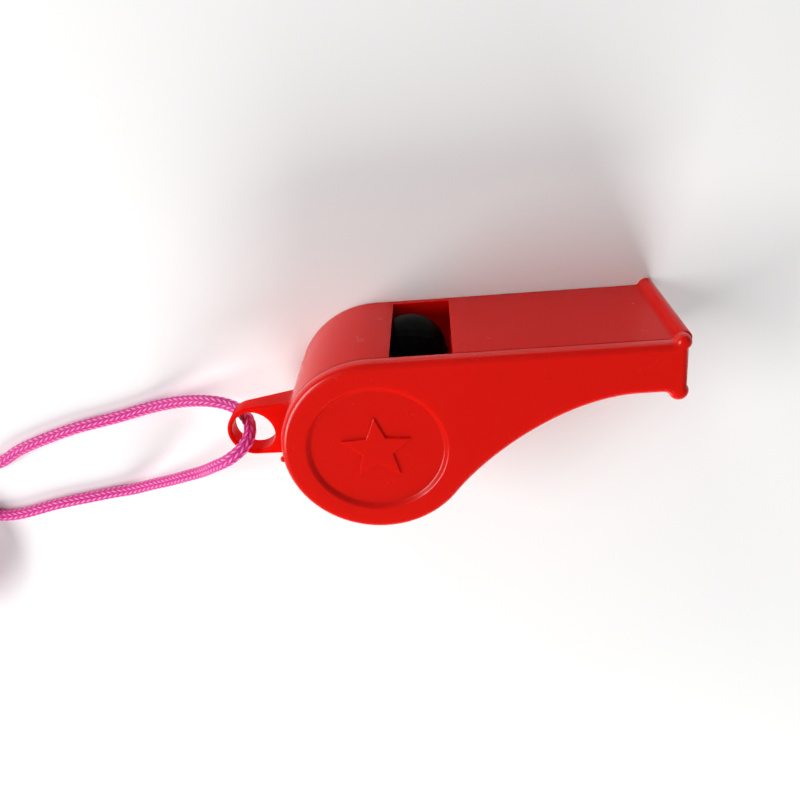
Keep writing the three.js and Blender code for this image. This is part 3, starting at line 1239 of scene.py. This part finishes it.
class Route:
    """A smooth line through the air, as points close together, in metres."""

    def __init__(self, points: Sequence[Vector]) -> None:
        """Takes the points.

        Args:
            points: The points, close together.
        """
        self.points = [Vector(p) for p in points]

    @classmethod
    def through(cls, knots: Sequence[Vector], steps: int = 40) -> Route:
        """Runs a smooth line through some points, even at sharp changes of their spacing.

        Args:
            knots: The points that the line passes.
            steps: How many points lie between two of them.

        Returns:
            The route.
        """
        points = [Vector(knots[0])]
        padded = [knots[0] * 2 - knots[1], *knots, knots[-1] * 2 - knots[-2]]
        for a, b, c, d in zip(padded, padded[1:], padded[2:], padded[3:]):
            before, here, after = (math.sqrt((q - p).length) for p, q in ((a, b), (b, c), (c, d)))
            leave = (b - a) / before - (c - a) / (before + here) + (c - b) / here
            meet = (c - b) / here - (d - b) / (here + after) + (d - c) / after
            for step in range(1, steps + 1):
                t = step / steps
                point = b * (2 * t**3 - 3 * t**2 + 1) + c * (3 * t**2 - 2 * t**3)
                point += leave * here * (t**3 - 2 * t**2 + t) + meet * here * (t**3 - t**2)
                points.append(point)
        return cls(points)

    def length(self) -> float:
        """The length of the line."""
        return sum((b - a).length for a, b in zip(self.points, self.points[1:]))

    def even(self, step: float) -> Route:
        """Spaces the points evenly.

        Args:
            step: About how far apart they are.

        Returns:
            The route with new points.
        """
        total = self.length()
        count = max(2, round(total / step))
        goals = [total * i / count for i in range(1, count)]
        points = [self.points[0]]
        run = 0.0
        for a, b in zip(self.points, self.points[1:]):
            side = (b - a).length
            while goals and run + side >= goals[0]:
                points.append(a.lerp(b, (goals.pop(0) - run) / side))
            run += side
        points.append(self.points[-1])
        return Route(points)


@dataclass(frozen=True)
class Braid:
    """A round braided cord: columns of slanted stitches, each pair of them a row of Vs.

    Attributes:
        radius: The cord's radius, in metres.
        sides: How many flat sides its tube has.
        step: How far apart the tube's rings are, in metres.
        columns: How many columns of stitches go round it.
        pitch: How long a stitch is, in metres.
        slant: How far a stitch leans over its column, in stitches.
        relief: How far the stitches stand out, in metres.
        level: How high on a stitch, from 0 to 1, the cord's radius lies.
        side_fall: How steadily a stitch falls off to its sides. Less is fuller.
        end_fall: How steadily it falls off to its ends.
    """

    radius: float = 0.00075
    sides: int = 16
    step: float = 0.00014
    columns: int = 8
    pitch: float = 0.0008
    slant: float = 1.15
    relief: float = 0.000085
    level: float = 0.6
    side_fall: float = 0.6
    end_fall: float = 0.7

    def stitch(self, around: float, along: float) -> float:
        """How high the yarn stands at a place on the cord.

        Args:
            around: Place around the cord, from 0 to 1.
            along: Place along it, in stitches.

        Returns:
            The height, from 0 in a groove to 1 on a crest.
        """
        across = around * self.columns
        column = math.floor(across)
        across -= column
        lean = self.slant if column % 2 else -self.slant
        swell = abs(math.sin(math.pi * (along + lean * (across - 0.5))))
        return math.sin(math.pi * across) ** self.side_fall * swell**self.end_fall

    def tube(self, route: Route, radius: float | None = None) -> Form:
        """Wraps a grid round a route and closes it.

        Args:
            route: The line that the cord follows.
            radius: The cord's radius, if it is pulled thinner.

        Returns:
            The tube, with a UV map that runs round and along it.
        """
        radius = radius or self.radius
        spots = route.even(self.step).points
        form = bmesh.new()
        bmesh.ops.create_grid(form, x_segments=self.sides, y_segments=len(spots) - 1, size=1)
        run = form.loops.layers.uv.new(CORD_RUN)
        form.verts.ensure_lookup_table()
        wide = self.sides + 1
        way = (spots[1] - spots[0]).normalized()
        side = Vector((0, 0, 1)).cross(way).normalized()
        along = 0.0
        runs = []
        for i, spot in enumerate(spots):
            ahead = (spots[min(i + 1, len(spots) - 1)] - spots[max(i - 1, 0)]).normalized()
            side = (way.rotation_difference(ahead) @ side).normalized()
            side = (side - ahead * side.dot(ahead)).normalized()
            way = ahead
            up = way.cross(side)
            along += (spot - spots[max(i - 1, 0)]).length / self.pitch
            runs.append(along)
            for k in range(wide):
                around = k / self.sides
                turn = math.tau * around
                reach = radius + self.relief * (self.stitch(around % 1, along) - self.level)
                out = side * math.cos(turn) + up * math.sin(turn)
                form.verts[i * wide + k].co = spot + out * reach
        for face in form.faces:
            for loop in face.loops:
                row, column = divmod(loop.vert.index, wide)
                loop[run].uv = (column / self.sides, runs[row])
        bmesh.ops.remove_doubles(form, verts=form.verts[:], dist=WELD * MM)
        rims = [e for e in form.edges if e.is_boundary]
        bmesh.ops.holes_fill(form, edges=rims, sides=0)
        bmesh.ops.recalc_face_normals(form, faces=form.faces[:])
        return form


@dataclass
class NeckCord:
    """The neck cord, from its knot through the eye and round its coil, in millimetres."""

    braid: Braid = field(default_factory=Braid)
    gap: float = 0.3
    table_gap: float = 0.02
    knot: Point = KNOT_PLACE
    knot_core: float = 1.75
    knot_foot_deg: float = -80.0
    leave_knot: Point = (-59.9, -7.0, 2.25)
    enter_knot: Point = (-61.15, -8.0, 2.55)
    coil_centre: tuple[float, float] = (-72.0, -21.4)
    coil_start_deg: float = 64.0
    coil_radius: float = 8.4
    coil_turns: float = 12 + 5 / 6
    coil_layers: int = 4
    coil_pitch: float = 1.95
    climb_turns: float = 0.5
    turn_steps: int = 120
    leave_pull: float = 5.5
    meet_pull: float = 5.5
    meet_lift: float = 2.0
    lead_steps: int = 40

    @property
    def radius(self) -> float:
        """The cord's radius."""
        return self.braid.radius / MM

    @property
    def lowest(self) -> float:
        """Height of the cord's middle where it lies on the table."""
        return self.radius + self.table_gap

    @property
    def coil_outer(self) -> float:
        """Radius of the coil's outer turn."""
        return self.coil_radius + self.coil_pitch * self.coil_turns / self.coil_layers / 2

    def on_turn(self, turn_deg: float, radius: float, height: float) -> Vector:
        """Places a point on a turn of the coil.

        Args:
            turn_deg: The point's direction from the coil's middle.
            radius: How far from it the point lies.
            height: The point's height.

        Returns:
            The point.
        """
        return Vector((*self.coil_centre, height)) + flat_way(turn_deg) * radius

    def stretch(self) -> list[Vector]:
        """Runs from the knot through the eye and on to the coil.

        Returns:
            The points that it passes, in millimetres.
        """
        low = self.lowest
        start = self.knot[0] + self.knot_core + self.radius + self.gap
        meet = self.on_turn(self.coil_start_deg, self.coil_outer, low)
        meet += flat_way(self.coil_start_deg - 90) * (2 * self.radius + self.gap)
        passed = [
            (start, self.knot[1] - 1.2, 2.0), (-56.4, -8.9, 1.15), (-52.2, -8.5, low),
            (-49.0, -6.8, low), (-45.3, -5.4, low), (-40.3, -3.9, low), (-34.8, -2.75, low),
            (-29.4, -1.4, 0.95), (-25.2, -0.4, 1.9), (-21.1, 0.2, 3.4), (-18.66, -0.04, 4.19),
            (-17.03, -0.41, 5.3), (-15.79, -1.04, 6.97), (-15.64, -1.95, 8.38),
            (-16.36, -2.91, 9.47), (-17.98, -4.08, 9.88), (-20.61, -6.02, 8.34),
            (-23.54, -8.52, 5.59), (-26.2, -9.9, 4.3), (-28.7, -11.25, 3.0), (-32.0, -12.6, 1.8),
            (-35.1, -13.7, 1.05), (-38.0, -14.25, low), (-40.8, -14.7, low), (-46.6, -15.7, low),
            (-50.9, -16.75, low), (-53.0, -17.1, low), (-55.1, -17.05, low),
            (-58.5, -16.05, low), (-62.0, -13.7, low), meet,
        ]
        smooth = Route.through([Vector(p) for p in passed]).points
        return [Vector(self.leave_knot), *smooth]

    def coil(self) -> list[Vector]:
        """Winds layers that spiral in and out, and leads the end down to the knot.

        Returns:
            Points close together, in millimetres.
        """
        per_layer = self.coil_turns / self.coil_layers
        points = []
        for i in range(round(self.coil_turns * self.turn_steps) + 1):
            turns = i / self.turn_steps
            layer = min(self.coil_layers - 1, math.floor(turns / per_layer))
            inward = turns / per_layer - layer
            if layer % 2:
                inward = 1 - inward
            radius = self.coil_outer - inward * self.coil_pitch * per_layer
            height = self.lowest
            for climb in range(1, self.coil_layers):
                share = (turns - climb * per_layer) / self.climb_turns + 0.5
                height += self.coil_pitch * min(1.0, max(0.0, share))
            points.append(self.on_turn(self.coil_start_deg + 360 * turns, radius, height))
        last = points[-1]
        leave_deg = self.coil_start_deg + 360 * self.coil_turns + 90
        foot_way = flat_way(self.knot_foot_deg)
        foot = Vector(self.knot) + foot_way * (self.knot_core + self.radius + self.gap)
        meet = foot + foot_way * self.meet_pull + Vector((0, 0, self.meet_lift))
        points += pulled_curve(
            last,
            last + flat_way(leave_deg) * self.leave_pull,
            meet,
            foot.lerp(meet, 2 * self.radius / self.meet_pull),
            self.lead_steps,
        )
        return [*points, foot, Vector(self.enter_knot)]

    def build(self) -> tuple[bpy.types.Object, Route]:
        """Makes the cord and dresses it.

        Returns:
            The piece and the line that it follows.
        """
        route = Route([p * MM for p in (*self.stretch(), *self.coil())])
        nodes = ("lanyard_stretch", "lanyard_coil")
        role = Role("neck_cord", Body.WHISTLE, Slot.PINK, nodes)
        piece = place_piece(self.braid.tube(route), role, CORD_PINK)
        return piece, route.even(self.braid.step)


@dataclass
class EndKnot:
    """The knot that joins the two ends of the cord, with two short cut tails, in millimetres.

    Attributes:
        braid: How its strands are braided.
        place: Its middle.
        wrap_radius: Radius of the turns that its strands take.
        wrap_wave: How far the turns move in and out.
        strand_radius: Radius of a strand, pulled thin.
        strand_apart: How far apart the two strands run.
        tilt_deg: How far the turns lean from lying flat.
        turns: How many turns a strand takes.
        lean_share: How far the lean itself goes round in one turn, as a share of it.
        turn_steps: How many points there are in a turn.
        tail_steps: How many points lie between two of those.
        tail_reaches: How far out the points of a tail are.
        tail_droop_deg: How far the tails point down.
        tail_degs: Which way each tail points.
    """

    braid: Braid = field(default_factory=lambda: Braid(sides=14, step=0.00013))
    place: Point = KNOT_PLACE
    wrap_radius: float = 1.66
    wrap_wave: float = 0.12
    strand_radius: float = 0.66
    strand_apart: float = 1.18
    tilt_deg: float = 62.0
    turns: int = 3
    lean_share: float = 1 / 3
    turn_steps: int = 7
    tail_steps: int = 12
    tail_reaches: tuple[float, ...] = (1.6, 2.8, 4.0, 5.35)
    tail_droop_deg: float = 17.0
    tail_degs: tuple[float, float] = (35.0, 85.0)

    def strand(self, side: float, tail_deg: float) -> Route:
        """Winds one of the two strands over the knot and lets it out as a tail.

        Args:
            side: Which side of its neighbour it runs on, -1 or 1.
            tail_deg: Which way its tail points.

        Returns:
            Its line, in metres.
        """
        tilt = math.radians(self.tilt_deg)
        upright = Vector((0, 0, 1))
        points = []
        for i in range(self.turns * self.turn_steps + 1):
            turn_deg = 360 * i / self.turn_steps
            turn = math.radians(turn_deg)
            lean_deg = turn_deg * self.lean_share
            pole = flat_way(lean_deg) * math.sin(tilt) + upright * math.cos(tilt)
            across = flat_way(lean_deg + 90)
            radius = self.wrap_radius - self.wrap_wave * math.cos(turn * 2)
            spot = (across * math.cos(turn) + pole.cross(across) * math.sin(turn)) * radius
            points.append(spot + pole * side * self.strand_apart / 2)
        droop = math.radians(self.tail_droop_deg)
        way = flat_way(tail_deg + 90) * math.cos(droop) - upright * math.sin(droop)
        tail = [way * reach for reach in self.tail_reaches]
        line = Route.through(points + tail, self.tail_steps)
        return Route([(p + Vector(self.place)) * MM for p in line.points])

    def build(self) -> bpy.types.Object:
        """Makes the knot and dresses it.

        Returns:
            The piece.
        """
        whole = bmesh.new()
        for side, tail_deg in zip((-1, 1), self.tail_degs):
            strand = self.braid.tube(self.strand(side, tail_deg), self.strand_radius * MM)
            mesh = bpy.data.meshes.new("strand")
            strand.to_mesh(mesh)
            strand.free()
            whole.from_mesh(mesh)
            bpy.data.meshes.remove(mesh)
        role = Role("end_knot", Body.WHISTLE, Slot.PINK, ("lanyard_knot",))
        return place_piece(whole, role, CORD_PINK)


@dataclass(frozen=True)
class Panel:
    """A soft panel light.

    Attributes:
        name: The light's name.
        place: Where it stands, in metres.
        wide: Its width.
        tall: Its height.
        power: Its power in watts.
        gleam: Whether it shows in glossy skins.
    """

    name: str
    place: Point
    wide: float
    tall: float
    power: float
    gleam: bool

    def shine(self, at_place: Point) -> None:
        """Puts the light into the scene.

        Args:
            at_place: The point that it shines at.
        """
        data = bpy.data.lights.new(self.name, "AREA")
        data.shape = "RECTANGLE"
        data.size = self.wide
        data.size_y = self.tall
        data.energy = self.power
        light = add_object(self.name, data)
        way = Vector(at_place) - Vector(self.place)
        turned = way.to_track_quat("-Z", "Y").to_matrix().to_4x4()
        light.matrix_world = Matrix.Translation(self.place) @ turned
        light.visible_glossy = self.gleam


@dataclass(frozen=True)
class Studio:
    """The camera at the photograph's viewing angle, the pale floor and the soft lights.

    Attributes:
        lens: The camera's focal length, in millimetres.
        sensor: Its sensor's width, in millimetres.
        eye: Where it stands, in metres.
        rise: How far its picture is shifted up.
        clips: The nearest and the farthest that it sees, in metres.
        right: The direction of its picture's right side.
        down: The direction of its picture's foot.
        forward: Where it looks.
        lit: The point that the panels shine at.
        sky: How bright the sky is.
        floor_reach: How far the floor goes to each side, in metres.
        panels: The lights.
    """

    lens: float = 34.055
    sensor: float = 36.0
    eye: Point = (0.0078340, 0.0429553, 0.0831967)
    rise: float = 0.0009
    clips: tuple[float, float] = (0.002, 10.0)
    right: Point = (0.99607198, -0.08454458, -0.02632155)
    down: Point = (-0.06101557, -0.87076273, 0.48790304)
    forward: Point = (-0.06416938, -0.48438052, -0.87250089)
    lit: Point = (0.0, -0.002, 0.008)
    sky: float = 0.12
    floor_reach: float = 3.0
    panels: tuple[Panel, ...] = (
        Panel("key_panel", (-0.3, -0.01, 0.26), 0.34, 0.12, 1.35, True),
        Panel("front_panel", (0.08, -0.4, 0.24), 0.3, 0.3, 2.0, False),
        Panel("low_rear_panel", (-0.15, 0.38, 0.085), 0.12, 0.12, 0.48, False),
    )

    def set_camera(self) -> None:
        """Makes the camera and gives it to the scene."""
        data = bpy.data.cameras.new("camera")
        data.lens = self.lens
        data.sensor_width = self.sensor
        data.shift_y = self.rise
        data.clip_start, data.clip_end = self.clips
        camera = add_object("camera", data)
        columns = Matrix((self.right, [-x for x in self.down], [-x for x in self.forward]))
        camera.matrix_world = Matrix.Translation(self.eye) @ columns.transposed().to_4x4()
        bpy.context.scene.camera = camera

    def lay_floor(self) -> None:
        """Lays the pale floor."""
        form = bmesh.new()
        bmesh.ops.create_grid(form, x_segments=1, y_segments=1, size=self.floor_reach)
        floor = add_form(form, "floor")
        floor.data.materials.append(FLOOR_WHITE.make())

    def light(self) -> None:
        """Sets the sky and the lights."""
        world = bpy.data.worlds.new("sky")
        world.use_nodes = True
        background = world.node_tree.nodes["Background"]
        background.inputs["Color"].default_value = (1, 1, 1, 1)
        background.inputs["Strength"].default_value = self.sky
        bpy.context.scene.world = world
        bpy.context.scene.view_settings.view_transform = "Standard"
        for panel in self.panels:
            panel.shine(self.lit)


def main() -> None:
    """Builds every piece in order."""
    logging.basicConfig(level=logging.INFO, format="%(name)s: %(message)s")
    studio = Studio()
    studio.set_camera()
    knot = EndKnot().build()
    cord, route = NeckCord().build()
    log.info("neck cord: %.3f m long", route.length())
    round(route.length(), 3)
    2 * Braid().radius
    sizes = WhistleSizes()
    BodyMoulding(sizes).build()
    CoverMoulding(sizes).build()
    LooseBall().build()
    studio.lay_floor()
    studio.light()


if __name__ == "__main__":
    main()
